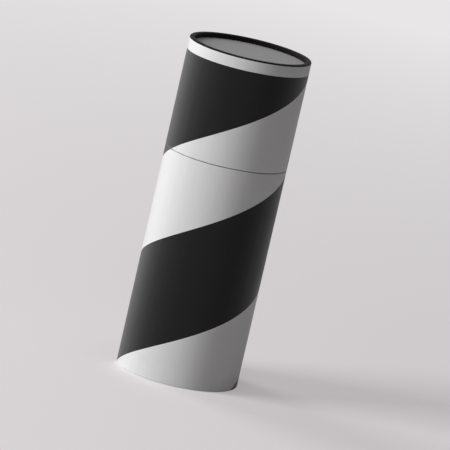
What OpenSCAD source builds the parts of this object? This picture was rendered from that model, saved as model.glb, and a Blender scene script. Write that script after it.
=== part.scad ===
// Cylindrical gift tube box: a wound board tube on a glued-in neck, and a deep lift-off lid
// that slides over the neck and rests on the shoulder of the base.
// Millimetres. +Z is the tube's axis, the origin is the middle of the resting face,
// and the lapped seam of the wrapping paper faces +Y.

/* [Tube] */
// Outside diameter of the wrapped tube
tube_d = 84; // [70:1:100]
// Height of the base, from the table to its shoulder
body_h = 154.2; // [110:0.1:220]
// Height of the lid, from its lower edge to the upper edge of its wrap
lid_h = 74.7; // [50:0.1:110]
// Gap between the shoulder and the lid above it
seam_gap = 0.6; // [0.2:0.1:0.8]

/* [Board walls] */
// Wall of the wound board tube that makes the base
body_wall = 2; // [1.6:0.1:3]
// Wall of the inner tube that makes the neck
neck_wall = 1.5; // [1.2:0.1:2]
// Height of the neck above the shoulder
neck_rise = 36; // [15:1:45]
// Play between the neck and the lining of the lid, on the radius
neck_play = 0.3; // [0.2:0.05:0.5]
// Rounding of the neck's upper edge
neck_edge_r = 0.5; // [0.2:0.05:0.5]
// Thickness of the board discs that close the two ends
disc_t = 2; // [1.5:0.1:3]
// How far the base disc sits above the resting edge
base_recess = 2; // [1:0.1:6]

/* [Paper] */
// Thickness of the wrapping and lining papers
paper_t = 0.3; // [0.2:0.05:0.4]
// Length of wrap that is turned in over the mating edges
turn_in = 12; // [8:1:14]
// Rounding of the two mating edges, outside
shoulder_r = 0.45; // [0.42:0.01:0.6]
// Rounding of the foot, outside
foot_r = 0.8; // [0.6:0.1:1.2]
// Height above the table where the wrap is trimmed
foot_trim = 0.15; // [0.1:0.05:0.3]
// Width of the lapped seam at the back of the wrap
lap_w = 10; // [6:1:15]
// How far the lapped seam stands proud
lap_rise = 0.2; // [0.1:0.05:0.4]

/* [Lid top] */
// Width of the rolled rim, measured in from the outside of the tube
rim_w = 3.4; // [3:0.1:4]
// How far the rim's crest stands above the wrap
rim_rise = 0.7; // [0.3:0.1:1]
// Depth of the top panel below the upper edge of the wrap
panel_drop = 2.6; // [1.8:0.1:3.4]

/* [Hidden] */
$fn = 180;

// Radii, from the outside in
tube_r = tube_d / 2;
core_r = tube_r - paper_t;
body_bore_r = core_r - body_wall;
neck_r = body_bore_r - paper_t;
neck_bore_r = neck_r - neck_wall;
lid_bore_r = neck_r + neck_play + paper_t;
lining_r = lid_bore_r - paper_t;
rim_in_r = tube_r - rim_w;
rim_mid_r = tube_r - rim_w / 2;

// Heights, from the table up
base_z = base_recess + paper_t;
floor_z = base_z + disc_t;
neck_z = body_h + neck_rise;
lid_z = body_h + seam_gap;
top_z = lid_z + lid_h;
panel_z = top_z - panel_drop;
panel_board_z = panel_z - paper_t - disc_t;
rim_mid_z = top_z + rim_rise - rim_w / 2;

// The lapped seam's strip is let this far into the wrap that carries it,
// and is pressed flat this close to the wrap's edges
lap_root = 0.15;
lap_margin = 1;
lap_angle = lap_w / tube_r * 180 / PI;

white_paper = [0.93, 0.93, 0.92];
black_paper = [0.07, 0.07, 0.07];
grey_board = [0.62, 0.58, 0.53];

// Rectangle in the revolve plane, from radius r0 to r1 and from height z0 to z1
module band(r0, r1, z0, z1) {
    translate([r0, z0]) square([r1 - r0, z1 - z0]);
}

// The same rectangle with its lower outer corner rounded
module band_round_foot(r0, r1, z0, z1, r) {
    band(r0, r1 - r, z0, z1);
    band(r0, r1, z0 + r, z1);
    translate([r1 - r, z0 + r]) circle(r = r);
}

// The same rectangle with its upper outer corner rounded
module band_round_head(r0, r1, z0, z1, r) {
    band(r0, r1 - r, z0, z1);
    band(r0, r1, z0, z1 - r);
    translate([r1 - r, z1 - r]) circle(r = r);
}

// Flat round sheet or board of radius r, with its underside at height z
module disc(r, z, t) {
    translate([0, 0, z]) cylinder(h = t, r = r);
}

// Strip of paper that laps over the wrap at the back, on a wrap from height z0 to z1
module lap(z0, z1) {
    rotate([0, 0, 90 - lap_angle / 2])
        rotate_extrude(angle = lap_angle)
            band(tube_r - lap_root, tube_r + lap_rise, z0 + lap_margin, z1 - lap_margin);
}

// Outline of the base's board wall: soft foot, nearly sharp shoulder
module body_core_section() {
    intersection() {
        band_round_foot(body_bore_r, core_r, 0, body_h - paper_t, foot_r - paper_t);
        band_round_head(body_bore_r, core_r, 0, body_h - paper_t, shoulder_r - paper_t);
    }
}

// Wound board tube of the base, standing on its lower edge
module body_core() {
    color(grey_board) rotate_extrude() body_core_section();
}

// Printed paper round the base: trimmed just above the table, turned in over the shoulder
module body_wrap() {
    color(white_paper) {
        rotate_extrude() difference() {
            intersection() {
                band_round_foot(neck_r, tube_r, -paper_t, body_h, foot_r);
                band_round_head(neck_r, tube_r, -paper_t, body_h, shoulder_r);
                band(neck_r, tube_r, foot_trim, body_h);
            }
            body_core_section();
            band(neck_r, body_bore_r + paper_t, -paper_t, body_h - turn_in);
        }
        lap(foot_r, body_h - shoulder_r);
    }
}

// Inner tube glued into the base, whose upper end guides the lid
module neck() {
    color(black_paper) rotate_extrude() {
        band(neck_bore_r, neck_r, floor_z, neck_z - neck_edge_r);
        band(neck_bore_r + neck_edge_r, neck_r - neck_edge_r, floor_z, neck_z);
        translate([neck_r - neck_edge_r, neck_z - neck_edge_r]) circle(r = neck_edge_r);
        translate([neck_bore_r + neck_edge_r, neck_z - neck_edge_r]) circle(r = neck_edge_r);
    }
}

// Board disc that closes the base and carries the neck
module base_board() {
    color(grey_board) disc(body_bore_r, base_z, disc_t);
}

// Paper glued under the base disc
module base_paper() {
    color(black_paper) disc(body_bore_r, base_recess, paper_t);
}

// Paper that lines the floor of the base
module floor_paper() {
    color(black_paper) disc(neck_bore_r, floor_z, paper_t);
}

// Outline of the lid's board wall, with its nearly sharp lower edge
module lid_core_section() {
    band_round_foot(lid_bore_r, core_r, lid_z + paper_t, panel_z, shoulder_r - paper_t);
}

// Wound board tube of the lid, up to the seat of the rim
module lid_core() {
    color(grey_board) rotate_extrude() lid_core_section();
}

// Printed paper round the lid: turned in over the lower edge, carried up beside the rim
module lid_wrap() {
    color(white_paper) {
        rotate_extrude() difference() {
            band_round_foot(lining_r, tube_r, lid_z, top_z, shoulder_r);
            lid_core_section();
            band(lining_r, lid_bore_r, lid_z + turn_in, top_z);
            band(lining_r, core_r, panel_z, top_z);
        }
        lap(lid_z + shoulder_r, top_z);
    }
}

// Paper that lines the bore of the lid, above the turned-in wrap
module lid_lining() {
    color(black_paper) rotate_extrude()
        band(lining_r, lid_bore_r, lid_z + turn_in, panel_board_z);
}

// Rolled rim: a half-round bead that caps the wall and holds the panel down
module lid_rim() {
    color(black_paper) rotate_extrude() intersection() {
        union() {
            translate([rim_mid_r, rim_mid_z]) circle(r = rim_w / 2);
            band(rim_in_r, core_r, panel_z, rim_mid_z);
        }
        band(rim_in_r, core_r, panel_z, top_z + rim_rise);
    }
}

// Board disc set in the top of the lid
module lid_panel() {
    color(grey_board) disc(lid_bore_r, panel_board_z, disc_t);
}

// Paper face of the panel, held at its edge by the rim
module lid_panel_paper() {
    color(white_paper) disc(lid_bore_r, panel_z - paper_t, paper_t);
}

// Paper on the underside of the panel, inside the lid
module ceiling_paper() {
    color(black_paper) disc(lining_r, panel_board_z - paper_t, paper_t);
}

body_core();
body_wrap();
neck();
base_board();
base_paper();
floor_paper();
lid_core();
lid_wrap();
lid_lining();
lid_rim();
lid_panel();
lid_panel_paper();
ceiling_paper();
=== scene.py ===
"""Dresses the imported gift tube: printed wraps, neck, rolled rim, recessed panel and linings.

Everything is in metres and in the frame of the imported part: +Z is the tube's axis, the origin is
the middle of the resting face, and the lapped seam of the wrapping paper faces +Y. Turns about
the axis are counted from -Y towards +X.
"""

import sys
import logging
import math
from collections.abc import Mapping, Sequence
from dataclasses import dataclass, field
from enum import Enum

import bmesh
import bpy
from mathutils import Matrix, Vector


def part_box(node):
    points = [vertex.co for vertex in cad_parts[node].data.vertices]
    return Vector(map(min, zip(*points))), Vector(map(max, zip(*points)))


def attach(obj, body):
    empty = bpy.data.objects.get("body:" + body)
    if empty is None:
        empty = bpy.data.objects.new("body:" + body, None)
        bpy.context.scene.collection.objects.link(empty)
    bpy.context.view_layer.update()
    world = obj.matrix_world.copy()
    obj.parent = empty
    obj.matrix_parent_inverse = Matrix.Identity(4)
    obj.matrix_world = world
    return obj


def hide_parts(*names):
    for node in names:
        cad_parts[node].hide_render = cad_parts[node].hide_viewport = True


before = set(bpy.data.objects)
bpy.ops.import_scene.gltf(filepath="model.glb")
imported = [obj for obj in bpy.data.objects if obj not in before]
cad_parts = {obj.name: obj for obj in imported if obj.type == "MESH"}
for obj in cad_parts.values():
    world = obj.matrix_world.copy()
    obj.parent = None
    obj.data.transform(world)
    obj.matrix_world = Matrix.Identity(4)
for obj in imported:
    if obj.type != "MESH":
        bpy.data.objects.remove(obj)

MM = 0.001

log = logging.getLogger("gift_tube")


class Body(Enum):
    """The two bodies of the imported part."""

    BASE = "base"
    LID = "lid"


class Slot(Enum):
    """The names of the record's material slots."""

    PRINTED_WRAP = "printed_wrap"
    PANEL_PAPER = "panel_paper"
    BLACK_PAPER = "black_paper"
    BLACK_BOARD = "black_board"
    BLACK_RIM = "black_rim"
    GREY_BOARD = "grey_board"


class Above(Enum):
    """What the printed sheet shows on the upper side of a stripe's edge."""

    INK = 1
    PAPER = -1


def linear(colour: str) -> tuple[float, float, float, float]:
    """Turns an sRGB hex colour into linear RGBA.

    Args:
        colour: the colour as written in a paint list, such as "#1a1a1a".

    Returns:
        Its linear red, green and blue, and full alpha.
    """
    parts = [int(colour[i : i + 2], 16) / 255 for i in (1, 3, 5)]
    return (*(c / 12.92 if c <= 0.04045 else ((c + 0.055) / 1.055) ** 2.4 for c in parts), 1.0)


def add_node(
    tree: bpy.types.NodeTree,
    kind: str,
    settings: Mapping[str, object] | None = None,
    inputs: Mapping[str | int, object] | None = None,
) -> bpy.types.Node:
    """Adds a node with its settings and links.

    Args:
        tree: the shader or geometry tree that the node goes into.
        kind: the node's type, as Blender names it.
        settings: the node's own properties.
        inputs: for each input, the output that feeds it or the value it holds.

    Returns:
        The new node.
    """
    node = tree.nodes.new(kind)
    for name, value in (settings or {}).items():
        setattr(node, name, value)
    for name, value in (inputs or {}).items():
        socket = node.inputs[name]
        if isinstance(value, bpy.types.NodeSocket):
            tree.links.new(value, socket)
        else:
            socket.default_value = value
    return node


def seen_directly(tree: bpy.types.NodeTree) -> bpy.types.NodeSocket:
    """Finds the rays that should meet the pale background.

    Args:
        tree: the tree of the floor or the room.

    Returns:
        1 for what the camera sees, straight or by reflection or through glass, and 0 for other light.
    """
    path = add_node(tree, "ShaderNodeLightPath")
    seen = add_node(tree, "ShaderNodeMath", {"operation": "ADD"},
                    {0: path.outputs["Is Camera Ray"], 1: path.outputs["Is Glossy Ray"]})
    shown = add_node(tree, "ShaderNodeMath", {"operation": "ADD", "use_clamp": True},
                     {0: seen.outputs[0], 1: path.outputs["Is Transmission Ray"]})
    return shown.outputs[0]


# Finishes


@dataclass(frozen=True)
class Finish:
    """A finish of the object, which each kind of paper or board fills in."""

    name: str

    def material(self) -> bpy.types.Material:
        """Builds the node material.

        Returns:
            The material, with its shader wired up.
        """
        made = bpy.data.materials.new(self.name)
        made.use_nodes = True
        tree = made.node_tree
        tree.nodes.clear()
        shader = add_node(tree, "ShaderNodeBsdfPrincipled")
        add_node(tree, "ShaderNodeOutputMaterial", None, {"Surface": shader.outputs["BSDF"]})
        self.dress(tree, shader)
        return made

    def dress(self, tree: bpy.types.NodeTree, shader: bpy.types.Node) -> None:
        """Wires the finish's pattern into the shader.

        Args:
            tree: the material's node tree.
            shader: its Principled shader.
        """
        raise NotImplementedError


@dataclass(frozen=True)
class StripeEdge:
    """One edge of a black stripe on the printed sheet, which climbs as it goes round.

    Attributes:
        height: where the edge crosses the front of the tube.
        lead: how far it climbs in a full turn.
        sway: how much its slope swells at the front and eases at the back.
        above: what the sheet shows above the edge.
    """

    height: float
    lead: float
    sway: float
    above: Above


@dataclass(frozen=True)
class LaminatedPrint(Finish):
    """Offset-printed art paper with a satin film, wound round the board.

    The film gives a broad soft sheen, strongest where it is seen edge-on, and the ink under it is
    solid. The board's winding shows as faint upright streaks in the sheen, and the ink is cracked
    to white in places along the folds.
    """

    girth_radius: float
    start: float
    edges: tuple[StripeEdge, ...]
    bare_above: float
    folds: tuple[float, ...]
    paper: str = "#eeeeee"
    fibre: str = "#fbfaf6"
    ink: str = "#09090a"
    film_roughness: float = 0.54
    edge_softness: float = 0.06 * MM
    streak_width: float = 7 * MM
    streak_length: float = 160 * MM
    streak_depth: float = 0.1 * MM
    film_grain: float = 0.9 * MM
    film_depth: float = 0.0012 * MM
    crack_reach: float = 0.3 * MM
    crack_share: float = 0.1
    cut_width: float = 0.1 * MM

    def dress(self, tree: bpy.types.NodeTree, shader: bpy.types.Node) -> None:
        """Wires stripes, film and worn folds into the shader.

        Args:
            tree: the material's node tree.
            shader: its Principled shader.
        """
        sheet = add_node(tree, "ShaderNodeUVMap", {"uv_map": "sheet"})
        flat = add_node(tree, "ShaderNodeSeparateXYZ", None, {0: sheet.outputs["UV"]})
        along, height = flat.outputs["X"], flat.outputs["Y"]
        turn = add_node(tree, "ShaderNodeMath", {"operation": "DIVIDE"}, {0: along, 1: self.girth_radius})
        swing = add_node(tree, "ShaderNodeMath", {"operation": "SINE"}, {0: turn.outputs[0]})
        ink: bpy.types.NodeSocket | float = 1.0
        for edge in self.edges:
            climb = add_node(tree, "ShaderNodeMath", {"operation": "MULTIPLY_ADD"},
                             {0: turn.outputs[0], 1: edge.lead / math.tau, 2: edge.height})
            line = add_node(tree, "ShaderNodeMath", {"operation": "MULTIPLY_ADD"},
                            {0: swing.outputs[0], 1: edge.sway, 2: climb.outputs[0]})
            passed = self.above(tree, height, line.outputs[0])
            total = add_node(tree, "ShaderNodeMath", {"operation": "MULTIPLY_ADD"},
                             {0: passed, 1: float(edge.above.value), 2: ink})
            ink = total.outputs[0]
        striped = add_node(tree, "ShaderNodeMath", {"operation": "SUBTRACT", "use_clamp": True},
                           {0: ink, 1: self.above(tree, height, self.bare_above)})
        ink = striped.outputs[0]

        mottle = add_node(tree, "ShaderNodeTexNoise", {"noise_dimensions": "2D"},
                          {"Vector": sheet.outputs["UV"], "Scale": 1 / (5 * MM), "Detail": 4.0, "Roughness": 0.6})
        paper = add_node(tree, "ShaderNodeMix", {"data_type": "RGBA"},
                         {0: mottle.outputs["Fac"], 6: linear(self.paper), 7: linear("#eaeaea")})
        solid = add_node(tree, "ShaderNodeMix", {"data_type": "RGBA"},
                         {0: mottle.outputs["Fac"], 6: linear(self.ink), 7: linear("#0d0d0e")})
        print_ = add_node(tree, "ShaderNodeMix", {"data_type": "RGBA"},
                          {0: ink, 6: paper.outputs[2], 7: solid.outputs[2]})
        worn = self.worn(tree, sheet.outputs["UV"], along, height)
        colour = add_node(tree, "ShaderNodeMix", {"data_type": "RGBA"},
                          {0: worn, 6: print_.outputs[2], 7: linear(self.fibre)})
        tree.links.new(colour.outputs[2], shader.inputs["Base Color"])
        shader.inputs["Specular IOR Level"].default_value = 0.08
        shader.inputs["Sheen Weight"].default_value = 0.6
        shader.inputs["Sheen Roughness"].default_value = 0.5

        handled = add_node(tree, "ShaderNodeTexNoise", {"noise_dimensions": "2D"},
                           {"Vector": sheet.outputs["UV"], "Scale": 1 / (28 * MM), "Detail": 3.0})
        gloss = add_node(tree, "ShaderNodeMapRange", None,
                         {"Value": handled.outputs["Fac"], "From Min": 0.3, "From Max": 0.7,
                          "To Min": self.film_roughness - 0.03, "To Max": self.film_roughness + 0.03})
        rough = add_node(tree, "ShaderNodeMix", {"data_type": "FLOAT"},
                         {0: worn, 2: gloss.outputs[0], 3: 0.9})
        tree.links.new(rough.outputs[0], shader.inputs["Roughness"])

        stretched = add_node(tree, "ShaderNodeMapping", None,
                             {"Vector": sheet.outputs["UV"],
                              "Scale": (1 / self.streak_width, 1 / self.streak_length, 1.0)})
        streaks = add_node(tree, "ShaderNodeTexNoise", {"noise_dimensions": "2D"},
                           {"Vector": stretched.outputs[0], "Scale": 1.0, "Detail": 2.0})
        board = add_node(tree, "ShaderNodeBump", None,
                         {"Strength": 1.0, "Distance": self.streak_depth, "Height": streaks.outputs["Fac"]})
        grain = add_node(tree, "ShaderNodeTexNoise", {"noise_dimensions": "2D"},
                         {"Vector": sheet.outputs["UV"], "Scale": 1 / self.film_grain, "Detail": 3.0})
        film = add_node(tree, "ShaderNodeBump", None,
                        {"Strength": 1.0, "Distance": self.film_depth, "Height": grain.outputs["Fac"],
                         "Normal": board.outputs[0]})
        tree.links.new(film.outputs[0], shader.inputs["Normal"])

    def above(
        self, tree: bpy.types.NodeTree, height: bpy.types.NodeSocket, line: bpy.types.NodeSocket | float
    ) -> bpy.types.NodeSocket:
        """Finds which side of a line the sheet is on, with the ink's slight spread at the line.

        Args:
            tree: the material's node tree.
            height: the height on the sheet.
            line: the height of the line.

        Returns:
            0 below the line and 1 above it.
        """
        over = add_node(tree, "ShaderNodeMath", {"operation": "SUBTRACT"}, {0: height, 1: line})
        passed = add_node(tree, "ShaderNodeMapRange", None,
                          {"Value": over.outputs[0], "From Min": -self.edge_softness / 2,
                           "From Max": self.edge_softness / 2})
        return passed.outputs[0]

    def worn(
        self,
        tree: bpy.types.NodeTree,
        sheet: bpy.types.NodeSocket,
        along: bpy.types.NodeSocket,
        height: bpy.types.NodeSocket,
    ) -> bpy.types.NodeSocket:
        """Finds where bare paper shows: along cracked folds and on the cut end of the sheet.

        Args:
            tree: the material's node tree.
            sheet: the flat position on the sheet.
            along: its part round the tube.
            height: its part up the tube.

        Returns:
            How bare the paper is, from 0 to 1.
        """
        end = self.girth_radius * (self.start + math.tau)
        cut = add_node(tree, "ShaderNodeMapRange", None,
                       {"Value": along, "From Min": end - self.cut_width, "From Max": end - self.cut_width * 0.7,
                        "To Max": 0.6})
        bare = cut.outputs[0]
        flakes = add_node(tree, "ShaderNodeTexNoise", {"noise_dimensions": "2D"},
                          {"Vector": sheet, "Scale": 1 / (1.6 * MM), "Detail": 5.0, "Roughness": 0.7})
        chipped = add_node(tree, "ShaderNodeMapRange", None,
                           {"Value": flakes.outputs["Fac"], "From Min": 0.56, "From Max": 0.74,
                            "To Max": self.crack_share})
        for fold in self.folds:
            away = add_node(tree, "ShaderNodeMath", {"operation": "SUBTRACT"}, {0: height, 1: fold})
            off = add_node(tree, "ShaderNodeMath", {"operation": "ABSOLUTE"}, {0: away.outputs[0]})
            near = add_node(tree, "ShaderNodeMapRange", {"interpolation_type": "SMOOTHSTEP"},
                            {"Value": off.outputs[0], "From Min": self.crack_reach * 0.3,
                             "From Max": self.crack_reach, "To Min": 1.0, "To Max": 0.0})
            here = add_node(tree, "ShaderNodeMath", {"operation": "MULTIPLY"},
                            {0: near.outputs[0], 1: chipped.outputs[0]})
            most = add_node(tree, "ShaderNodeMath", {"operation": "MAXIMUM"}, {0: bare, 1: here.outputs[0]})
            bare = most.outputs[0]
        return bare


@dataclass(frozen=True)
class DyedCard(Finish):
    """Uncoated black-dyed paper or board: matt, with felted fibres that catch a little light."""

    colour: str = "#1b1b1c"
    fibre: str = "#303032"
    roughness: float = 0.82
    fibre_width: float = 0.5 * MM
    fibre_length: float = 3 * MM
    fibre_depth: float = 0.02 * MM

    def dress(self, tree: bpy.types.NodeTree, shader: bpy.types.Node) -> None:
        """Wires the felted fibres into the shader.

        Args:
            tree: the material's node tree.
            shader: its Principled shader.
        """
        where = add_node(tree, "ShaderNodeTexCoord")
        drawn = add_node(tree, "ShaderNodeMapping", None,
                         {"Vector": where.outputs["Object"],
                          "Scale": (1 / self.fibre_length, 1 / self.fibre_length, 1 / self.fibre_width)})
        fibres = add_node(tree, "ShaderNodeTexNoise", None,
                          {"Vector": drawn.outputs[0], "Scale": 1.0, "Detail": 4.0, "Roughness": 0.65})
        cloudy = add_node(tree, "ShaderNodeTexNoise", None,
                          {"Vector": where.outputs["Object"], "Scale": 1 / (9 * MM), "Detail": 3.0})
        blend = add_node(tree, "ShaderNodeMath", {"operation": "MULTIPLY"},
                         {0: fibres.outputs["Fac"], 1: cloudy.outputs["Fac"]})
        lit = add_node(tree, "ShaderNodeMapRange", None,
                       {"Value": blend.outputs[0], "From Min": 0.15, "From Max": 0.45})
        colour = add_node(tree, "ShaderNodeMix", {"data_type": "RGBA"},
                          {0: lit.outputs[0], 6: linear(self.colour), 7: linear(self.fibre)})
        tree.links.new(colour.outputs[2], shader.inputs["Base Color"])
        rough = add_node(tree, "ShaderNodeMapRange", None,
                         {"Value": fibres.outputs["Fac"], "To Min": self.roughness + 0.08,
                          "To Max": self.roughness - 0.08})
        tree.links.new(rough.outputs[0], shader.inputs["Roughness"])
        felt = add_node(tree, "ShaderNodeBump", None,
                        {"Strength": 1.0, "Distance": self.fibre_depth, "Height": fibres.outputs["Fac"]})
        tree.links.new(felt.outputs[0], shader.inputs["Normal"])


@dataclass(frozen=True)
class RolledCard(Finish):
    """Black coated card curled into the rim: very dark, with rubbed patches a little lighter and rougher, and a little
    grainy.
    """

    colour: str = "#070708"
    rub: str = "#121213"
    roughness: float = 0.66
    grain: float = 0.8 * MM
    grain_depth: float = 0.008 * MM

    def dress(self, tree: bpy.types.NodeTree, shader: bpy.types.Node) -> None:
        """Wires the rolled grain into the shader.

        Args:
            tree: the material's node tree.
            shader: its Principled shader.
        """
        shader.inputs["Specular IOR Level"].default_value = 0.12
        where = add_node(tree, "ShaderNodeTexCoord")
        grain = add_node(tree, "ShaderNodeTexNoise", None,
                         {"Vector": where.outputs["Object"], "Scale": 1 / self.grain, "Detail": 4.0})
        rubbed = add_node(tree, "ShaderNodeTexNoise", None,
                          {"Vector": where.outputs["Object"], "Scale": 1 / (6 * MM), "Detail": 4.0})
        share = add_node(tree, "ShaderNodeMapRange", None,
                         {"Value": rubbed.outputs["Fac"], "From Min": 0.55, "From Max": 0.8, "To Max": 0.5})
        colour = add_node(tree, "ShaderNodeMix", {"data_type": "RGBA"},
                          {0: share.outputs[0], 6: linear(self.colour), 7: linear(self.rub)})
        tree.links.new(colour.outputs[2], shader.inputs["Base Color"])
        rough = add_node(tree, "ShaderNodeMapRange", None,
                         {"Value": rubbed.outputs["Fac"], "To Min": self.roughness - 0.06,
                          "To Max": self.roughness + 0.1})
        tree.links.new(rough.outputs[0], shader.inputs["Roughness"])
        pores = add_node(tree, "ShaderNodeBump", None,
                         {"Strength": 1.0, "Distance": self.grain_depth, "Height": grain.outputs["Fac"]})
        tree.links.new(pores.outputs[0], shader.inputs["Normal"])


@dataclass(frozen=True)
class FeltPaper(Finish):
    """Felt-marked paper on the lid's panel, painted grey as shade of the dim top face: matt, faintly mottled, with a
    soft tooth.
    """

    # Both tones are painted shade: the panel's paper is made grey to stand for the dim light on the top face.
    colour: str = "#bbbbbb"
    shade: str = "#b2b2b2"
    roughness: float = 0.78
    tooth: float = 0.7 * MM
    tooth_depth: float = 0.015 * MM

    def dress(self, tree: bpy.types.NodeTree, shader: bpy.types.Node) -> None:
        """Wires mottle and tooth into the shader.

        Args:
            tree: the material's node tree.
            shader: its Principled shader.
        """
        where = add_node(tree, "ShaderNodeTexCoord")
        mottle = add_node(tree, "ShaderNodeTexNoise", None,
                          {"Vector": where.outputs["Object"], "Scale": 1 / (4 * MM), "Detail": 5.0,
                           "Roughness": 0.6})
        colour = add_node(tree, "ShaderNodeMix", {"data_type": "RGBA"},
                          {0: mottle.outputs["Fac"], 6: linear(self.colour), 7: linear(self.shade)})
        tree.links.new(colour.outputs[2], shader.inputs["Base Color"])
        rough = add_node(tree, "ShaderNodeMapRange", None,
                         {"Value": mottle.outputs["Fac"], "To Min": self.roughness - 0.05,
                          "To Max": self.roughness + 0.05})
        tree.links.new(rough.outputs[0], shader.inputs["Roughness"])
        felt = add_node(tree, "ShaderNodeTexNoise", None,
                        {"Vector": where.outputs["Object"], "Scale": 1 / self.tooth, "Detail": 3.0})
        tooth = add_node(tree, "ShaderNodeBump", None,
                         {"Strength": 1.0, "Distance": self.tooth_depth, "Height": felt.outputs["Fac"]})
        tree.links.new(tooth.outputs[0], shader.inputs["Normal"])


@dataclass(frozen=True)
class GreyBoard(Finish):
    """Unbleached recycled board, wound in plies: rough, flecked, with darker glue lines on a cut edge."""

    colour: str = "#9a9288"
    fleck: str = "#7c746a"
    glue: str = "#6b6258"
    roughness: float = 0.92
    ply: float = 0.4 * MM
    glue_share: float = 0.16

    def dress(self, tree: bpy.types.NodeTree, shader: bpy.types.Node) -> None:
        """Wires flecks and ply lines into the shader.

        Args:
            tree: the material's node tree.
            shader: its Principled shader.
        """
        where = add_node(tree, "ShaderNodeTexCoord")
        flecks = add_node(tree, "ShaderNodeTexNoise", None,
                          {"Vector": where.outputs["Object"], "Scale": 1 / (0.8 * MM), "Detail": 5.0,
                           "Roughness": 0.7})
        share = add_node(tree, "ShaderNodeMapRange", None,
                         {"Value": flecks.outputs["Fac"], "From Min": 0.45, "From Max": 0.7})
        board = add_node(tree, "ShaderNodeMix", {"data_type": "RGBA"},
                         {0: share.outputs[0], 6: linear(self.colour), 7: linear(self.fleck)})
        across = add_node(tree, "ShaderNodeVectorMath", {"operation": "MULTIPLY"},
                          {0: where.outputs["Object"], 1: (1.0, 1.0, 0.0)})
        radius = add_node(tree, "ShaderNodeVectorMath", {"operation": "LENGTH"}, {0: across.outputs[0]})
        plies = add_node(tree, "ShaderNodeMath", {"operation": "DIVIDE"},
                         {0: radius.outputs["Value"], 1: self.ply})
        part = add_node(tree, "ShaderNodeMath", {"operation": "FRACT"}, {0: plies.outputs[0]})
        line = add_node(tree, "ShaderNodeMath", {"operation": "LESS_THAN"},
                        {0: part.outputs[0], 1: self.glue_share})
        colour = add_node(tree, "ShaderNodeMix", {"data_type": "RGBA"},
                          {0: line.outputs[0], 6: board.outputs[2], 7: linear(self.glue)})
        tree.links.new(colour.outputs[2], shader.inputs["Base Color"])
        rough = add_node(tree, "ShaderNodeMapRange", None,
                         {"Value": flecks.outputs["Fac"], "To Min": self.roughness - 0.06,
                          "To Max": self.roughness + 0.06})
        tree.links.new(rough.outputs[0], shader.inputs["Roughness"])
        pulp = add_node(tree, "ShaderNodeBump", None,
                        {"Strength": 1.0, "Distance": 0.03 * MM, "Height": flecks.outputs["Fac"]})
        tree.links.new(pulp.outputs[0], shader.inputs["Normal"])


@dataclass(frozen=True)
class StudioSweep(Finish):
    """Matt pale paper of the studio floor, which keeps the object's shadow and fades into the room.

    It is clear from below, so that the underside of the object can be looked at.
    """

    colour: str = "#dcd8da"
    room_colour: str = "#e8e6e7"
    near: float = 0.1
    far: float = 1.7
    fade: float = 1.6
    glow: float = 0.45

    def dress(self, tree: bpy.types.NodeTree, shader: bpy.types.Node) -> None:
        """Wires the paper's own paleness in, for what the camera and reflections see.

        Args:
            tree: the material's node tree.
            shader: its Principled shader.
        """
        shader.inputs["Base Color"].default_value = linear(self.colour)
        shader.inputs["Roughness"].default_value = 1.0
        shader.inputs["Specular IOR Level"].default_value = 0.0
        shader.inputs["Emission Color"].default_value = linear(self.colour)
        shown = seen_directly(tree)
        level = add_node(tree, "ShaderNodeMath", {"operation": "MULTIPLY"}, {0: shown, 1: self.glow})
        tree.links.new(level.outputs[0], shader.inputs["Emission Strength"])

        where = add_node(tree, "ShaderNodeTexCoord")
        away = add_node(tree, "ShaderNodeVectorMath", {"operation": "LENGTH"}, {0: where.outputs["Object"]})
        gone = add_node(tree, "ShaderNodeMapRange", None,
                        {"Value": away.outputs["Value"], "From Min": self.near, "From Max": self.far})
        eased = add_node(tree, "ShaderNodeMath", {"operation": "POWER"}, {0: gone.outputs[0], 1: self.fade})
        faded = add_node(tree, "ShaderNodeMath", {"operation": "MULTIPLY"}, {0: shown, 1: eased.outputs[0]})
        room = add_node(tree, "ShaderNodeEmission", None, {"Color": linear(self.room_colour), "Strength": 1.0})
        sweep = add_node(tree, "ShaderNodeMixShader", None,
                         {0: faded.outputs[0], 1: shader.outputs["BSDF"], 2: room.outputs[0]})
        side = add_node(tree, "ShaderNodeNewGeometry")
        clear = add_node(tree, "ShaderNodeBsdfTransparent")
        sided = add_node(tree, "ShaderNodeMixShader", None,
                         {0: side.outputs["Backfacing"], 1: sweep.outputs[0], 2: clear.outputs[0]})
        output = next(node for node in tree.nodes if node.bl_idname == "ShaderNodeOutputMaterial")
        tree.links.new(sided.outputs[0], output.inputs["Surface"])


# Turned forms


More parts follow.
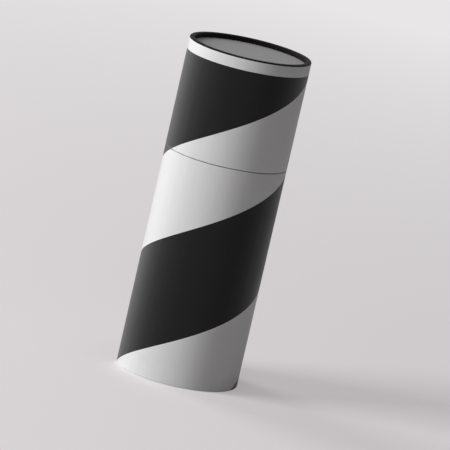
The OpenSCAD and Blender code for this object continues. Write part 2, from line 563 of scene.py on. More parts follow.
@dataclass
class Outline:
    """A closed outline in the turning plane: each point has a radius, a height and a run.

    The run is the distance along the outline, counted so that it equals the height on the
    outline's reference point.
    """

    points: list[tuple[float, float]] = field(default_factory=list)
    reference: int = 0

    def to(self, radius: float, height: float) -> "Outline":
        """Goes straight to a point and returns the outline."""
        self.points.append((radius, height))
        return self

    def mark(self) -> "Outline":
        """Makes the last point the one whose run is its height, and returns the outline."""
        self.reference = len(self.points) - 1
        return self

    def bend(
        self, radius: float, height: float, size: float, start: float, end: float, steps: int = 8
    ) -> "Outline":
        """Follows an arc.

        Args:
            radius: the radius at which the arc's centre lies.
            height: the height of the arc's centre.
            size: the arc's own radius.
            start: where it starts, in degrees from outwards towards up.
            end: where it ends.
            steps: how many facets it has.

        Returns:
            The outline.
        """
        for i in range(steps + 1):
            angle = math.radians(start + (end - start) * i / steps)
            self.to(radius + size * math.cos(angle), height + size * math.sin(angle))
        return self

    def divide(self, longest: float) -> "Outline":
        """Adds points on the long straights.

        Args:
            longest: the longest straight that stays whole.

        Returns:
            The outline.
        """
        kept, marked = [], 0
        for i, here in enumerate(self.points):
            if i == self.reference:
                marked = len(kept)
            kept.append(here)
            there = self.points[(i + 1) % len(self.points)]
            parts = math.ceil(math.dist(here, there) / longest)
            kept += [
                tuple(a + (b - a) * k / parts for a, b in zip(here, there)) for k in range(1, parts)
            ]
        self.points, self.reference = kept, marked
        return self

    def runs(self) -> list[float]:
        """Measures the run of each point.

        Returns:
            The runs, in the order of the points.
        """
        runs = [0.0]
        for here, there in zip(self.points, self.points[1:]):
            runs.append(runs[-1] + math.dist(here, there))
        shift = self.points[self.reference][1] - runs[self.reference]
        return [run + shift for run in runs]

    def mesh(self, name: str) -> bpy.types.Mesh:
        """Makes the outline a ring of edges that carries its sections and runs.

        Args:
            name: the mesh's name.

        Returns:
            The mesh, for a winding to turn.
        """
        count = len(self.points)
        mesh = bpy.data.meshes.new(name)
        places = [(radius, 0.0, height) for radius, height in self.points]
        mesh.from_pydata(places, [(i, (i + 1) % count) for i in range(count)], [])
        section = mesh.attributes.new("section", "FLOAT_VECTOR", "POINT")
        section.data.foreach_set("vector", [c for place in places for c in place])
        run = mesh.attributes.new("run", "FLOAT", "POINT")
        run.data.foreach_set("value", self.runs())
        return mesh


@dataclass(frozen=True)
class Lap:
    """How the end of a wound sheet lies over its start.

    Attributes:
        width: how far the two ends overlap.
        rise: how far the outer end stands proud.
        low: the height above which it is not pressed flat.
        high: the height below which it is not pressed flat.
        inner: the radius of the board under the sheet.
        outer: the radius of the sheet's face.
    """

    width: float = 1 * MM
    rise: float = 0.0
    low: float = -1.0
    high: float = 1.0
    inner: float = 0.0
    outer: float = 1.0


def tree_with_inputs(name: str, inputs: Mapping[str, str]) -> tuple[bpy.types.NodeTree, bpy.types.Node]:
    """Starts a geometry tree.

    Args:
        name: the tree's name.
        inputs: the kind of each named input, after the geometry.

    Returns:
        The tree and its group input node.
    """
    tree = bpy.data.node_groups.new(name, "GeometryNodeTree")
    tree.interface.new_socket("Geometry", in_out="INPUT", socket_type="NodeSocketGeometry")
    for title, kind in inputs.items():
        tree.interface.new_socket(title, in_out="INPUT", socket_type=kind)
    tree.interface.new_socket("Geometry", in_out="OUTPUT", socket_type="NodeSocketGeometry")
    return tree, add_node(tree, "NodeGroupInput")


def finish_tree(tree: bpy.types.NodeTree, shape: bpy.types.NodeSocket, finish: bpy.types.NodeSocket) -> None:
    """Ends a geometry tree: real geometry, with its material.

    Args:
        tree: the tree.
        shape: the geometry so far.
        finish: the material's socket.
    """
    real = add_node(tree, "GeometryNodeRealizeInstances", None, {"Geometry": shape})
    dressed = add_node(tree, "GeometryNodeSetMaterial", None, {"Geometry": real.outputs[0], "Material": finish})
    add_node(tree, "NodeGroupOutput", None, {"Geometry": dressed.outputs[0]})


def grow(
    name: str, seed: bpy.types.Mesh, tree: bpy.types.NodeTree, inputs: Mapping[str, object]
) -> bpy.types.Object:
    """Runs a geometry tree once and keeps its result as a plain mesh.

    Args:
        name: the finished object's name.
        seed: the mesh that the tree starts from.
        tree: the geometry tree.
        inputs: a value for each of the tree's named inputs.

    Returns:
        The finished object, with no modifier on it.
    """
    start = bpy.data.objects.new(name + "_seed", seed)
    bpy.context.scene.collection.objects.link(start)
    modifier = start.modifiers.new(tree.name, "NODES")
    modifier.node_group = tree
    for item in tree.interface.items_tree:
        if item.in_out == "INPUT" and item.name in inputs:
            modifier[item.identifier] = inputs[item.name]
    graph = bpy.context.evaluated_depsgraph_get()
    grown = bpy.data.meshes.new_from_object(
        start.evaluated_get(graph), preserve_all_data_layers=True, depsgraph=graph
    )
    start.modifiers.remove(modifier)
    bpy.data.objects.remove(start)
    grown.name = name
    for spare in ("section", "run", "turn", "share"):
        if spare in grown.attributes:
            grown.attributes.remove(grown.attributes[spare])
    made = bpy.data.objects.new(name, grown)
    bpy.context.scene.collection.objects.link(made)
    tidy = bmesh.new()
    tidy.from_mesh(grown)
    stray = [edge for edge in tidy.edges if not edge.link_faces]
    bmesh.ops.delete(tidy, geom=stray, context="EDGES")
    bmesh.ops.recalc_face_normals(tidy, faces=tidy.faces)
    tidy.to_mesh(grown)
    tidy.free()
    grown.shade_smooth()
    grown.set_sharp_from_angle(angle=math.radians(38))
    return made


@dataclass
class Winding:
    """The rule of every round piece: an outline is carried round the axis, and a sheet laps itself.

    Attributes:
        girth_radius: the radius at which the flat sheet is measured.
        start: the turn at which the sheet starts and ends.
        columns: how many facets go round.
        gather: how closely the facets gather at the sheet's ends, from 0 to 1.
    """

    girth_radius: float
    start: float
    columns: int = 384
    gather: float = 0.88
    tree: bpy.types.NodeTree = field(init=False)

    def __post_init__(self) -> None:
        """Builds the geometry tree that all the round pieces share."""
        self.tree, given = tree_with_inputs(
            "wind_round_axis",
            {
                "Columns": "NodeSocketInt",
                "Start Turn": "NodeSocketFloat",
                "Gather": "NodeSocketFloat",
                "Girth Radius": "NodeSocketFloat",
                "Lap Width": "NodeSocketFloat",
                "Lap Rise": "NodeSocketFloat",
                "Lap Low": "NodeSocketFloat",
                "Lap High": "NodeSocketFloat",
                "Lap Inner": "NodeSocketFloat",
                "Lap Outer": "NodeSocketFloat",
                "Finish": "NodeSocketMaterial",
            },
        )
        skin = self.skin(given.outputs)
        placed = self.placed(given.outputs, skin)
        closed = add_node(self.tree, "GeometryNodeMergeByDistance", None,
                          {"Geometry": placed, "Distance": 0.001 * MM})
        finish_tree(self.tree, closed.outputs[0], given.outputs["Finish"])

    def skin(self, given: Mapping[str, bpy.types.NodeSocket]) -> bpy.types.NodeSocket:
        """Builds the grid of the piece: the outline repeated at every turn.

        Args:
            given: the tree's inputs.

        Returns:
            The grid, whose points know their section, run, turn and share of the way round.
        """
        tree = self.tree
        line = add_node(tree, "GeometryNodeCurvePrimitiveLine")
        steps = add_node(tree, "ShaderNodeMath", {"operation": "ADD"}, {0: given["Columns"], 1: 1.0})
        path = add_node(tree, "GeometryNodeResampleCurve", {"mode": "COUNT"},
                        {"Curve": line.outputs[0], "Count": steps.outputs[0]})
        share = add_node(tree, "GeometryNodeSplineParameter").outputs["Factor"]
        whole = add_node(tree, "ShaderNodeMath", {"operation": "MULTIPLY"}, {0: share, 1: math.tau})
        wave = add_node(tree, "ShaderNodeMath", {"operation": "SINE"}, {0: whole.outputs[0]})
        drawn = add_node(tree, "ShaderNodeMath", {"operation": "MULTIPLY"}, {0: wave.outputs[0], 1: given["Gather"]})
        even = add_node(tree, "ShaderNodeMath", {"operation": "SUBTRACT"}, {0: whole.outputs[0], 1: drawn.outputs[0]})
        turn = add_node(tree, "ShaderNodeMath", {"operation": "ADD"}, {0: even.outputs[0], 1: given["Start Turn"]})
        turned = add_node(tree, "GeometryNodeStoreNamedAttribute", {"data_type": "FLOAT", "domain": "POINT"},
                          {"Geometry": path.outputs[0], "Name": "turn", "Value": turn.outputs[0]})
        shared = add_node(tree, "GeometryNodeStoreNamedAttribute", {"data_type": "FLOAT", "domain": "POINT"},
                          {"Geometry": turned.outputs[0], "Name": "share", "Value": share})
        outline = add_node(tree, "GeometryNodeMeshToCurve", None, {"Mesh": given["Geometry"]})
        skin = add_node(tree, "GeometryNodeCurveToMesh", None,
                        {"Curve": shared.outputs[0], "Profile Curve": outline.outputs[0]})
        return skin.outputs[0]

    def placed(
        self, given: Mapping[str, bpy.types.NodeSocket], skin: bpy.types.NodeSocket
    ) -> bpy.types.NodeSocket:
        """Puts every point of the grid round the axis and lays out its flat sheet.

        Args:
            given: the tree's inputs.
            skin: the grid.

        Returns:
            The piece, open along the sheet's ends.
        """
        tree = self.tree
        section, turn, share, run = (
            add_node(tree, "GeometryNodeInputNamedAttribute", {"data_type": kind}, {"Name": name}).outputs[0]
            for name, kind in (("section", "FLOAT_VECTOR"), ("turn", "FLOAT"), ("share", "FLOAT"), ("run", "FLOAT"))
        )
        where = add_node(tree, "ShaderNodeSeparateXYZ", None, {0: section})
        gone = add_node(tree, "ShaderNodeMath", {"operation": "SUBTRACT"}, {0: turn, 1: given["Start Turn"]})
        arc = add_node(tree, "ShaderNodeMath", {"operation": "MULTIPLY"}, {0: gone.outputs[0], 1: given["Girth Radius"]})
        third = add_node(tree, "ShaderNodeMath", {"operation": "MULTIPLY"}, {0: given["Lap Width"], 1: 0.4})
        over = add_node(tree, "ShaderNodeMapRange", {"interpolation_type": "SMOOTHSTEP"},
                        {"Value": arc.outputs[0], "From Min": third.outputs[0], "From Max": given["Lap Width"],
                         "To Min": 1.0, "To Max": 0.0})
        last = add_node(tree, "ShaderNodeMath", {"operation": "GREATER_THAN"}, {0: share, 1: 0.99999})
        lifted = add_node(tree, "ShaderNodeMath", {"operation": "MAXIMUM"}, {0: over.outputs[0], 1: last.outputs[0]})
        face = add_node(tree, "ShaderNodeMapRange", None,
                        {"Value": where.outputs["X"], "From Min": given["Lap Inner"], "From Max": given["Lap Outer"]})
        low_end = add_node(tree, "ShaderNodeMath", {"operation": "ADD"}, {0: given["Lap Low"], 1: 1 * MM})
        low = add_node(tree, "ShaderNodeMapRange", {"interpolation_type": "SMOOTHSTEP"},
                       {"Value": where.outputs["Z"], "From Min": given["Lap Low"], "From Max": low_end.outputs[0]})
        high_end = add_node(tree, "ShaderNodeMath", {"operation": "SUBTRACT"}, {0: given["Lap High"], 1: 1 * MM})
        high = add_node(tree, "ShaderNodeMapRange", {"interpolation_type": "SMOOTHSTEP"},
                        {"Value": where.outputs["Z"], "From Min": high_end.outputs[0], "From Max": given["Lap High"],
                         "To Min": 1.0, "To Max": 0.0})
        rise: bpy.types.NodeSocket = given["Lap Rise"]
        for part in (lifted, face, low, high):
            rise = add_node(tree, "ShaderNodeMath", {"operation": "MULTIPLY"}, {0: rise, 1: part.outputs[0]}).outputs[0]
        radius = add_node(tree, "ShaderNodeMath", {"operation": "ADD"}, {0: where.outputs["X"], 1: rise})
        sine = add_node(tree, "ShaderNodeMath", {"operation": "SINE"}, {0: turn})
        cosine = add_node(tree, "ShaderNodeMath", {"operation": "COSINE"}, {0: turn})
        right = add_node(tree, "ShaderNodeMath", {"operation": "MULTIPLY"}, {0: sine.outputs[0], 1: radius.outputs[0]})
        front = add_node(tree, "ShaderNodeMath", {"operation": "MULTIPLY"}, {0: cosine.outputs[0], 1: radius.outputs[0]})
        back = add_node(tree, "ShaderNodeMath", {"operation": "MULTIPLY"}, {0: front.outputs[0], 1: -1.0})
        place = add_node(tree, "ShaderNodeCombineXYZ", None,
                         {"X": right.outputs[0], "Y": back.outputs[0], "Z": where.outputs["Z"]})
        set_ = add_node(tree, "GeometryNodeSetPosition", None, {"Geometry": skin, "Position": place.outputs[0]})
        along = add_node(tree, "ShaderNodeMath", {"operation": "MULTIPLY"}, {0: turn, 1: given["Girth Radius"]})
        flat = add_node(tree, "ShaderNodeCombineXYZ", None, {"X": along.outputs[0], "Y": run})
        mapped = add_node(tree, "GeometryNodeStoreNamedAttribute", {"data_type": "FLOAT2", "domain": "CORNER"},
                          {"Geometry": set_.outputs[0], "Name": "sheet", "Value": flat.outputs[0]})
        return mapped.outputs[0]

    def wind(self, name: str, outline: Outline, finish: bpy.types.Material, lap: Lap = Lap()) -> bpy.types.Object:
        """Turns an outline into a round piece.

        Args:
            name: the piece's name.
            outline: its closed outline.
            finish: its material.
            lap: how the sheet laps itself, if it does.

        Returns:
            The piece.
        """
        return grow(name, outline.mesh(name + "_outline"), self.tree, {
            "Columns": self.columns,
            "Start Turn": self.start,
            "Gather": self.gather,
            "Girth Radius": self.girth_radius,
            "Lap Width": lap.width,
            "Lap Rise": lap.rise,
            "Lap Low": lap.low,
            "Lap High": lap.high,
            "Lap Inner": lap.inner,
            "Lap Outer": lap.outer,
            "Finish": finish,
        })


@dataclass
class PlySeam:
    """The spiral seam of a wound tube's outermost ply, as a thin strip that follows the tube."""

    width: float = 0.9 * MM
    thickness: float = 0.1 * MM
    climb: float = 118 * MM
    tree: bpy.types.NodeTree = field(init=False)

    def __post_init__(self) -> None:
        """Builds the geometry tree that lays a strip along a spiral."""
        self.tree, given = tree_with_inputs(
            "follow_winding",
            {
                "Radius": "NodeSocketFloat",
                "Low": "NodeSocketFloat",
                "High": "NodeSocketFloat",
                "Climb": "NodeSocketFloat",
                "Start Turn": "NodeSocketFloat",
                "Strip Width": "NodeSocketFloat",
                "Strip Thickness": "NodeSocketFloat",
                "Finish": "NodeSocketMaterial",
            },
        )
        tree, slots = self.tree, given.outputs
        tall = add_node(tree, "ShaderNodeMath", {"operation": "SUBTRACT"}, {0: slots["High"], 1: slots["Low"]})
        turns = add_node(tree, "ShaderNodeMath", {"operation": "DIVIDE"}, {0: tall.outputs[0], 1: slots["Climb"]})
        spiral = add_node(tree, "GeometryNodeCurveSpiral", None,
                          {"Resolution": 180, "Rotations": turns.outputs[0], "Start Radius": slots["Radius"],
                           "End Radius": slots["Radius"], "Height": tall.outputs[0]})
        level = add_node(tree, "ShaderNodeCombineXYZ", None, {"Z": slots["Low"]})
        twist = add_node(tree, "ShaderNodeCombineXYZ", None, {"Z": slots["Start Turn"]})
        put = add_node(tree, "GeometryNodeTransform", None,
                       {"Geometry": spiral.outputs[0], "Translation": level.outputs[0], "Rotation": twist.outputs[0]})
        upright = add_node(tree, "GeometryNodeSetCurveNormal", {"mode": "Z_UP"}, {"Curve": put.outputs[0]})
        strip = add_node(tree, "GeometryNodeCurvePrimitiveQuadrilateral", {"mode": "RECTANGLE"},
                         {"Width": slots["Strip Thickness"], "Height": slots["Strip Width"]})
        laid = add_node(tree, "GeometryNodeCurveToMesh", None,
                        {"Curve": upright.outputs[0], "Profile Curve": strip.outputs[0], "Fill Caps": True})
        finish_tree(tree, laid.outputs[0], slots["Finish"])

    def lay(
        self, name: str, radius: float, low: float, high: float, turn: float, finish: bpy.types.Material
    ) -> bpy.types.Object:
        """Lays the strip on a tube.

        Args:
            name: the strip's name.
            radius: the radius of the tube's face, in which the strip sits.
            low: where it starts.
            high: where it ends.
            turn: the turn at which it starts.
            finish: its material.

        Returns:
            The strip.
        """
        seed = bpy.data.meshes.new(name + "_start")
        return grow(name, seed, self.tree, {
            "Radius": radius,
            "Low": low,
            "High": high,
            "Climb": self.climb,
            "Start Turn": turn,
            "Strip Width": self.width,
            "Strip Thickness": self.thickness,
            "Finish": finish,
        })


# The object


@dataclass(frozen=True)
class Span:
    """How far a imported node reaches.

    Attributes:
        radius: its outer radius.
        low: its lowest height.
        high: its highest height.
    """

    radius: float
    low: float
    high: float

    @classmethod
    def of(cls, node: str) -> "Span":
        """Reads the span of a node from the frame."""
        low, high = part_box(node)
        return cls(high.x, low.z, high.z)


def seat(piece: bpy.types.Object, body: Body, slot: Slot, *nodes: str) -> bpy.types.Object:
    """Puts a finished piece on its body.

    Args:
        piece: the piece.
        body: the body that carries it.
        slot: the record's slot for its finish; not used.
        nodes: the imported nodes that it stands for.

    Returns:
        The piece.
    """
    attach(piece, body.value)
    if nodes:
        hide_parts(*nodes)
    log.info("%s rides on %s with %d faces", piece.name, body.value, len(piece.data.polygons))
    return piece


def coat(node: str, finish: bpy.types.Material) -> None:
    """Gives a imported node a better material, in every slot it has.

    Args:
        node: the node's name.
        finish: the material.
    """
    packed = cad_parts[node]
    for slot in packed.material_slots:
        slot.material = finish
    if not packed.material_slots:
        packed.data.materials.append(finish)
    log.info("%s keeps its packed shape in %s", node, finish.name)


@dataclass(frozen=True)
class Finishes:
    """The finishes of the object, each built once."""

    print_: bpy.types.Material
    neck_board: bpy.types.Material
    black_paper: bpy.types.Material
    rim: bpy.types.Material
    panel: bpy.types.Material
    board: bpy.types.Material


@dataclass
class PrintedSheet:
    """The black and white sheet that both wraps are cut from.

    Attributes:
        radius: the radius of the wrapped tube.
        lap: the width of the lapped seam.
        shoulder: the height of the base's fold.
        mouth: the height of the lid's fold.
        band: the height above which the lid stays white.
    """

    radius: float
    lap: float
    shoulder: float
    mouth: float
    band: float
    lower: tuple[tuple[float, float], ...] = ((181.3 * MM, 1.2 * MM), (34.5 * MM, 0.4 * MM))
    lower_lead: float = 146.8 * MM
    upper: tuple[tuple[float, float], ...] = ((257.6 * MM, 2.8 * MM), (115.1 * MM, 2.8 * MM), (-27.4 * MM, 2.8 * MM))
    upper_lead: float = 142.5 * MM

    @property
    def start(self) -> float:
        """The turn at which the sheet's visible end is cut."""
        return -math.pi - self.lap / 2 / self.radius

    def finish(self) -> LaminatedPrint:
        """Describes the print on the sheet.

        Returns:
            The finish, with every edge of the stripes.
        """
        edges = [StripeEdge(height, self.lower_lead, sway, Above.INK) for height, sway in self.lower]
        edges += [StripeEdge(height, self.upper_lead, sway, Above.PAPER) for height, sway in self.upper]
        return LaminatedPrint(
            "satin_laminated_print", self.radius, self.start, tuple(edges), self.band, (self.shoulder, self.mouth)
        )


@dataclass
class BaseTube:
    """The base: printed tube, shoulder, neck and the papers of its floor."""

    wrap: Span
    core: Span
    board: Span
    neck: Span
    floor: Span
    underside: Span
    shoulder_rounding: float = 0.45 * MM
    foot_rounding: float = 0.8 * MM
    foot_trim: float = 0.15 * MM
    turned_in: float = 12 * MM
    inner_fold: float = 0.22 * MM
    neck_rounding: float = 0.5 * MM
    lap_rise: float = 0.2 * MM

    @property
    def paper(self) -> float:
        """The thickness of the wrapping paper."""
        return self.wrap.radius - self.core.radius

    def wrap_outline(self) -> Outline:
        """Draws the wrap: trimmed above the table, folded over the shoulder and down behind the neck.

        Returns:
            The outline.
        """
        foot_centre = self.wrap.radius - self.foot_rounding
        core_foot = self.foot_rounding - self.paper
        outer_trim = math.degrees(math.asin((self.foot_trim - self.foot_rounding) / self.foot_rounding))
        inner_trim = math.degrees(math.asin((self.foot_trim - core_foot) / core_foot))
        head_centre = self.wrap.radius - self.shoulder_rounding
        head_height = self.wrap.high - self.shoulder_rounding
        core_head = self.shoulder_rounding - self.paper
        fold = self.inner_fold
        outline = Outline()
        outline.bend(foot_centre, self.foot_rounding, self.foot_rounding, outer_trim, 0)
        outline.mark()
        outline.bend(head_centre, head_height, self.shoulder_rounding, 0, 90)
        outline.bend(self.neck.radius + fold, self.wrap.high - fold, fold, 90, 180, 4)
        outline.to(self.neck.radius, self.wrap.high - self.turned_in)
        outline.to(self.board.radius, self.wrap.high - self.turned_in)
        outline.to(self.board.radius, self.wrap.high - self.paper)
        outline.bend(head_centre, head_height, core_head, 90, 0, 3)
        outline.bend(foot_centre, core_foot, core_foot, 0, inner_trim, 3)
        return outline.divide(6 * MM)

    def core_outline(self) -> Outline:
        """Draws the board wall, whose cut foot shows its plies.

        Returns:
            The outline.
        """
        foot = self.foot_rounding - self.paper
        head = self.shoulder_rounding - self.paper
        foot_centre = self.core.radius - foot
        outline = Outline()
        plies, notch = 4, 0.05 * MM
        width = (foot_centre - self.board.radius) / plies
        outline.to(self.board.radius, notch)
        for i in range(plies):
            inner = self.board.radius + i * width
            outline.to(inner + notch, 0.0).to(inner + width - notch, 0.0)
            if i < plies - 1:
                outline.to(inner + width, notch)
        outline.bend(foot_centre, foot, foot, -90, 0, 5).mark()
        outline.bend(self.core.radius - head, self.core.high - head, head, 0, 90, 3)
        outline.to(self.board.radius, self.core.high)
        return outline

    def neck_outline(self) -> Outline:
        """Draws the neck, with both corners of its upper edge rounded.

        Returns:
            The outline.
        """
        bend, top = self.neck_rounding, self.neck.high - self.neck_rounding
        outline = Outline().to(self.floor.radius, self.neck.low).to(self.neck.radius, self.neck.low).mark()
        outline.bend(self.neck.radius - bend, top, bend, 0, 90, 6)
        outline.bend(self.floor.radius + bend, top, bend, 90, 180, 6)
        return outline.divide(9 * MM)

    def disc_outline(self, span: Span, radius: float) -> Outline:
        """Draws a round paper whose rim is rubbed round.

        Args:
            span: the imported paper.
            radius: its radius.

        Returns:
            The outline, which starts and ends on the axis.
        """
        size = (span.high - span.low) * 0.35
        outline = Outline().to(0.0, span.low)
        outline.bend(radius - size, span.low + size, size, -90, 0, 3)
        outline.bend(radius - size, span.high - size, size, 0, 90, 3)
        outline.to(0.0, span.high)
        return outline.divide(5 * MM)

    def build(self, winding: Winding, seam: PlySeam, finishes: Finishes) -> None:
        """Makes and seats every piece of the base.

        Args:
            winding: the rule of the round pieces.
            seam: the rule of the spiral seams.
            finishes: the object's materials.
        """
        lap = Lap(10 * MM, self.lap_rise, self.foot_rounding, self.wrap.high - self.shoulder_rounding,
                  self.core.radius, self.wrap.radius)
        wrap = winding.wind("base_wrap", self.wrap_outline(), finishes.print_, lap)
        seat(wrap, Body.BASE, Slot.PRINTED_WRAP, "body_wrap")
        core = winding.wind("base_board_wall", self.core_outline(), finishes.board)
        seat(core, Body.BASE, Slot.GREY_BOARD, "body_core")
        neck = winding.wind("neck_tube", self.neck_outline(), finishes.neck_board)
        seat(neck, Body.BASE, Slot.BLACK_BOARD, "neck")
        outside = seam.lay("neck_outer_seam", self.neck.radius, self.wrap.high, self.neck.high - 0.6 * MM, 3.6,
                           finishes.neck_board)
        seat(outside, Body.BASE, Slot.BLACK_BOARD)
        inside = seam.lay("neck_inner_seam", self.floor.radius, self.floor.high, self.neck.high - 0.6 * MM, 1.1,
                          finishes.neck_board)
        seat(inside, Body.BASE, Slot.BLACK_BOARD)
        under = winding.wind("underside_paper", self.disc_outline(self.underside, self.board.radius),
                             finishes.black_paper)
        seat(under, Body.BASE, Slot.BLACK_PAPER, "base_paper")
        floor = winding.wind("floor_lining", self.disc_outline(self.floor, self.floor.radius), finishes.black_paper)
        seat(floor, Body.BASE, Slot.BLACK_PAPER, "floor_paper")
        coat("base_board", finishes.board)


@dataclass
class Lid:
    """The lift-off lid: printed tube, rolled rim, recessed panel and linings."""

    wrap: Span
    core: Span
    bore: Span
    ceiling: Span
    rim: Span
    panel: Span
    mouth_rounding: float = 0.45 * MM
    inner_fold: float = 0.22 * MM
    turned_in: float = 12 * MM
    rim_width: float = 3.4 * MM
    lip: float = 0.25 * MM
    lap_rise: float = 0.2 * MM

    @property
    def paper(self) -> float:
        """The thickness of the wrapping paper."""
        return self.wrap.radius - self.core.radius

    def wrap_outline(self) -> Outline:
        """Draws the wrap: folded in at the mouth, carried up under the rim's lip.

        Returns:
            The outline.
        """
        bend, fold = self.mouth_rounding, self.inner_fold
        centre, height = self.wrap.radius - bend, self.wrap.low + bend
        inner = bend - self.paper
        edge, top = self.paper * 0.3, self.wrap.high - self.lip
        outline = Outline()
        outline.to(self.ceiling.radius, self.wrap.low + self.turned_in)
        outline.bend(self.ceiling.radius + fold, self.wrap.low + fold, fold, 180, 270, 4)
        outline.bend(centre, height, bend, -90, 0)
        outline.mark()
        outline.bend(self.wrap.radius - edge, top - edge, edge, 0, 90, 3)
        outline.to(self.core.radius, top)
        outline.bend(centre, height, inner, 0, -90, 3)
        outline.to(self.bore.radius, self.wrap.low + self.paper)
        outline.to(self.bore.radius, self.wrap.low + self.turned_in)
        return outline.divide(6 * MM)

    def rim_outline(self) -> Outline:
        """Draws the rolled rim: a squarish bead over a straight inner wall, its lip on the wrap's edge.

        Returns:
            The outline.
        """
        inner, crest, outer = self.wrap.radius - self.rim_width, self.rim.high, self.wrap.radius
        inside, root, under = 0.55 * MM, 0.2 * MM, 0.06 * MM
        outside = crest - (self.wrap.high - self.lip) - under
        crown = 0.06 * MM
        outline = Outline()
        outline.bend(inner + root, self.rim.low + root, root, 270, 180, 3)
        outline.bend(inner + inside, crest - crown - inside, inside, 180, 95, 9)
        outline.to((inner + outer) / 2, crest)
        outline.bend(outer - outside, crest - crown - outside + crown, outside, 84, 0, 10)
        outline.bend(outer - under, crest - outside, under, 0, -90, 3)
        outline.to(self.rim.radius, crest - outside - under)
        outline.to(self.rim.radius, self.rim.low)
        return outline

    def panel_outline(self) -> Outline:
        """Draws the panel's paper: flat, and pressed down in a soft groove beside the rim.

        Returns:
            The outline, which starts and ends on the axis.
        """
        press, groove = 0.12 * MM, 1.6 * MM
        meets = self.wrap.radius - self.rim_width
        outline = Outline().to(0.0, self.panel.low).to(self.bore.radius, self.panel.low)
        outline.to(self.bore.radius, self.panel.high - press)
        for i in range(9):
            share = i / 8
            radius = meets - groove * share
            outline.to(radius, self.panel.high - press * (1 + math.cos(math.pi * share)) / 2)
        outline.to(0.0, self.panel.high)
        return outline.divide(5 * MM)

    def lining_outline(self) -> Outline:
        """Draws the lining between the turned-in wrap and the panel.

        Returns:
            The outline.
        """
        low, high = self.wrap.low + self.turned_in, self.bore.low
        outline = Outline().to(self.ceiling.radius, high).to(self.ceiling.radius, low + 0.1 * MM)
        outline.to(self.ceiling.radius + 0.1 * MM, low).to(self.bore.radius, low).to(self.bore.radius, high)
        return outline.divide(8 * MM)

    def build(self, winding: Winding, seam: PlySeam, finishes: Finishes) -> None:
        """Makes and seats every piece of the lid.

        Args:
            winding: the rule of the round pieces.
            seam: the rule of the spiral seams.
            finishes: the object's materials.
        """
        lap = Lap(10 * MM, self.lap_rise, self.wrap.low + self.mouth_rounding, self.wrap.high,
                  self.core.radius, self.wrap.radius)
        wrap = winding.wind("lid_printed_wrap", self.wrap_outline(), finishes.print_, lap)
        seat(wrap, Body.LID, Slot.PRINTED_WRAP, "lid_wrap")
        rim = winding.wind("rolled_rim", self.rim_outline(), finishes.rim)
        seat(rim, Body.LID, Slot.BLACK_RIM, "lid_rim")
        panel = winding.wind("panel_face", self.panel_outline(), finishes.panel)
        seat(panel, Body.LID, Slot.PANEL_PAPER, "lid_panel_paper")
        lining = winding.wind("lid_bore_lining", self.lining_outline(), finishes.black_paper)
        seat(lining, Body.LID, Slot.BLACK_PAPER, "lid_lining")
        coat("ceiling_paper", finishes.black_paper)
        coat("lid_core", finishes.board)
        coat("lid_panel", finishes.board)


# The studio


@dataclass
class Studio:
    """A plain pale floor and the soft lamps round it."""

    floor_radius: float = 8.0
    sides: int = 64
    fill_strength: float = 0.13
    sweep: StudioSweep = StudioSweep("studio_sweep")

    def floor(self) -> bpy.types.Object:
        """Makes the floor, a wide round sheet under the object.

        Returns:
            The floor.
        """
        mesh = bpy.data.meshes.new("studio_floor")
        sheet = bmesh.new()
        bmesh.ops.create_circle(sheet, cap_ends=True, segments=self.sides, radius=self.floor_radius)
        sheet.to_mesh(mesh)
        sheet.free()
        mesh.materials.append(self.sweep.material())
        floor = bpy.data.objects.new("studio_floor", mesh)
        bpy.context.scene.collection.objects.link(floor)
        return floor

    def world(self) -> None:
        """Sets the even light of the room, and the pale background behind the floor."""
        world = bpy.data.worlds.new("studio_room")
        bpy.context.scene.world = world
        world.use_nodes = True
        tree = world.node_tree
        tree.nodes.clear()
        fill = add_node(tree, "ShaderNodeBackground", None,
                        {"Color": linear("#ffffff"), "Strength": self.fill_strength})
        pale = add_node(tree, "ShaderNodeBackground", None, {"Color": linear(self.sweep.room_colour), "Strength": 1.0})
        shown = add_node(tree, "ShaderNodeMixShader", None,
                         {0: seen_directly(tree), 1: fill.outputs[0], 2: pale.outputs[0]})
        add_node(tree, "ShaderNodeOutputWorld", None, {"Surface": shown.outputs[0]})

    def lamp(self, name: str, turn: float, height: float, reach: float, size: tuple[float, float], power: float) -> None:
        """Hangs a soft lamp that faces the middle of the tube.

        Args:
            name: the lamp's name.
            turn: where it stands round the tube, in degrees from -Y towards +X.
            height: its height above the floor.
            reach: its distance from the axis.
            size: its width and height.
            power: its power in watts.
        """
        light = bpy.data.lights.new(name, "AREA")
        light.shape = "RECTANGLE"
        light.size, light.size_y = size
        light.energy = power
        lamp = bpy.data.objects.new(name, light)
        angle = math.radians(turn)
        lamp.location = (reach * math.sin(angle), -reach * math.cos(angle), height)
        aim = Vector((0.0, 0.0, 0.12)) - lamp.location
        lamp.rotation_euler = aim.to_track_quat("-Z", "Y").to_euler()
        bpy.context.scene.collection.objects.link(lamp)

    def build(self) -> None:
        """Sets up the floor, the room and the lamps."""
        self.floor()
        self.world()
        self.lamp("key_softbox", -66, 0.98, 2.6, (1.15, 1.7), 52)
        self.lamp("edge_softbox", -122, 0.8, 2.6, (1.15, 1.7), 30)
        log.info("studio set up")


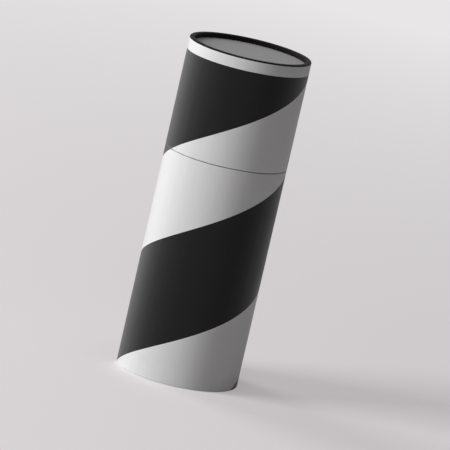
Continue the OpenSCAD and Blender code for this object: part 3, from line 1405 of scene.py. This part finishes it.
@dataclass
class PhotoCamera:
    """The photograph's viewpoint: a long lens a little above the tube, turned so that it leans.

    Attributes:
        focal_pixels: the focal length in pixels of the frame.
        frame_pixels: the frame's side.
        distance: how far the camera stands from the axis.
        height: how high it stands.
        pitch: how far it looks down, in degrees.
        yaw: how far it looks to the right, in degrees.
        roll: how far the tube leans to the right in the picture, in degrees.
    """

    focal_pixels: float = 4963.4
    frame_pixels: float = 450.0
    sensor: float = 36.0
    distance: float = 3.29675
    height: float = 0.791
    pitch: float = 11.7079
    yaw: float = 0.1655
    roll: float = 12.9012

    def build(self) -> None:
        """Makes the camera the scene's own."""
        data = bpy.data.cameras.new("photo_camera")
        data.sensor_width = self.sensor
        data.lens = self.focal_pixels / self.frame_pixels * self.sensor
        data.clip_end = 50.0
        camera = bpy.data.objects.new("photo_camera", data)
        pitch, yaw, roll = (math.radians(a) for a in (self.pitch, self.yaw, self.roll))
        ahead = Vector((math.sin(yaw) * math.cos(pitch), math.cos(yaw) * math.cos(pitch), -math.sin(pitch)))
        right = ahead.cross(Vector((0.0, 0.0, 1.0))).normalized()
        up = right.cross(ahead)
        leaning_right = right * math.cos(roll) + up * math.sin(roll)
        leaning_up = up * math.cos(roll) - right * math.sin(roll)
        turned = Matrix((leaning_right, leaning_up, -ahead)).transposed().to_4x4()
        camera.matrix_world = Matrix.Translation((0.0, -self.distance, self.height)) @ turned
        bpy.context.scene.collection.objects.link(camera)
        bpy.context.scene.camera = camera
        log.info("camera set up")


def main() -> None:
    """Builds the picture: camera, studio, then the base and the lid."""
    logging.basicConfig(level=logging.INFO, format="%(name)s: %(message)s", stream=sys.stdout)
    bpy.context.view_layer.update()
    bpy.context.scene.view_settings.view_transform = "Standard"
    PhotoCamera().build()
    Studio().build()

    base_wrap, lid_wrap = Span.of("body_wrap"), Span.of("lid_wrap")
    sheet = PrintedSheet(base_wrap.radius, 10 * MM, base_wrap.high, lid_wrap.low, lid_wrap.high - 7.7 * MM)
    finishes = Finishes(
        sheet.finish().material(),
        DyedCard("black_wound_board", colour="#1d1d1e").material(),
        DyedCard("black_lining_paper").material(),
        RolledCard("black_rolled_card").material(),
        # The panel's grey is painted shade of the lid's top face.
        FeltPaper("felt_paper_painted_shade").material(),
        GreyBoard("grey_wound_board").material(),
    )
    winding = Winding(base_wrap.radius, sheet.start)
    seam = PlySeam()
    BaseTube(
        base_wrap,
        Span.of("body_core"),
        Span.of("base_board"),
        Span.of("neck"),
        Span.of("floor_paper"),
        Span.of("base_paper"),
    ).build(winding, seam, finishes)
    Lid(
        lid_wrap,
        Span.of("lid_core"),
        Span.of("lid_panel"),
        Span.of("ceiling_paper"),
        Span.of("lid_rim"),
        Span.of("lid_panel_paper"),
    ).build(winding, seam, finishes)


if __name__ == "__main__":
    main()
